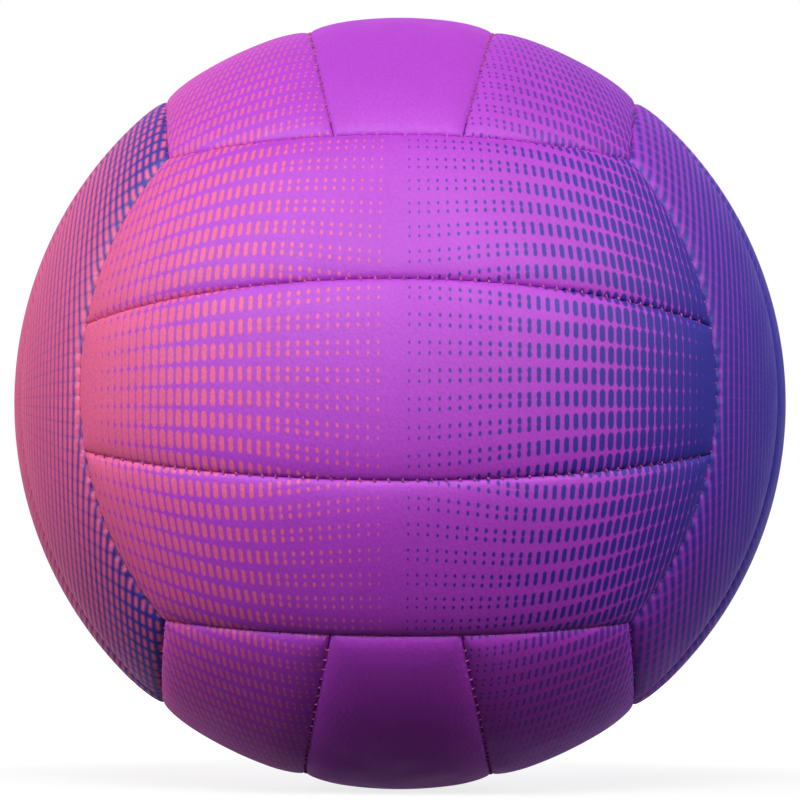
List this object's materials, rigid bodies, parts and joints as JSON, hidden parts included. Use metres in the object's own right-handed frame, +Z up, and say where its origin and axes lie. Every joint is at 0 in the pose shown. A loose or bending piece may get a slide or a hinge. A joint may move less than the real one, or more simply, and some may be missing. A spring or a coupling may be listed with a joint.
{
  "type": "volleyball",
  "caption": "Stitched indoor volleyball: padded leather cover panels in faces of three, sewn round an air bladder with a needle valve, halftone print from pink to navy.",
  "frame": {"origin": "centre of the ball", "axes": "+Z up, -Y out of the front face whose three panels run left to right, +Y out of the needle valve in the back face, +X to the right as seen from the front"},
  "size_m": [0.21, 0.2099, 0.21],
  "materials": {
    "cover_violet": "matte synthetic leather, violet ground with a halftone print",
    "cover_pink": "matte synthetic leather, navy ground nearly covered by a pink halftone",
    "cover_navy": "matte synthetic leather, violet ground nearly covered by a navy halftone",
    "foam": "closed-cell foam sheet",
    "thread": "waxed polyester sewing thread",
    "bladder": "moulded butyl rubber",
    "valve": "moulded soft rubber"
  },
  "bodies": {
    "root": {"front_middle_cover": "cover_violet", "front_upper_cover": "cover_violet", "front_lower_cover": "cover_violet", "back_middle_cover": "cover_violet", "back_upper_cover": "cover_violet", "back_lower_cover": "cover_violet", "top_middle_cover": "cover_violet", "top_right_cover": "cover_violet", "top_left_cover": "cover_violet", "bottom_middle_cover": "cover_violet", "bottom_right_cover": "cover_violet", "bottom_left_cover": "cover_violet", "right_middle_cover": "cover_navy", "right_back_cover": "cover_navy", "right_front_cover": "cover_navy", "left_middle_cover": "cover_pink", "left_front_cover": "cover_pink", "left_back_cover": "cover_pink", "front_middle_foam": "foam", "front_upper_foam": "foam", "front_lower_foam": "foam", "back_middle_foam": "foam", "back_upper_foam": "foam", "back_lower_foam": "foam", "top_middle_foam": "foam", "top_right_foam": "foam", "top_left_foam": "foam", "bottom_middle_foam": "foam", "bottom_right_foam": "foam", "bottom_left_foam": "foam", "right_middle_foam": "foam", "right_back_foam": "foam", "right_front_foam": "foam", "left_middle_foam": "foam", "left_front_foam": "foam", "left_back_foam": "foam", "front_middle_seams": "thread", "back_middle_seams": "thread", "top_middle_seams": "thread", "bottom_middle_seams": "thread", "right_middle_seams": "thread", "left_middle_seams": "thread", "top_front_seam": "thread", "bottom_front_seam": "thread", "top_back_seam": "thread", "bottom_back_seam": "thread", "top_right_seam": "thread", "top_left_seam": "thread", "bottom_right_seam": "thread", "bottom_left_seam": "thread", "right_back_seam": "thread", "right_front_seam": "thread", "left_front_seam": "thread", "left_back_seam": "thread", "bladder": "bladder", "valve_patch": "bladder", "valve_housing": "valve", "valve_core": "valve"}
  },
  "joints": []
}
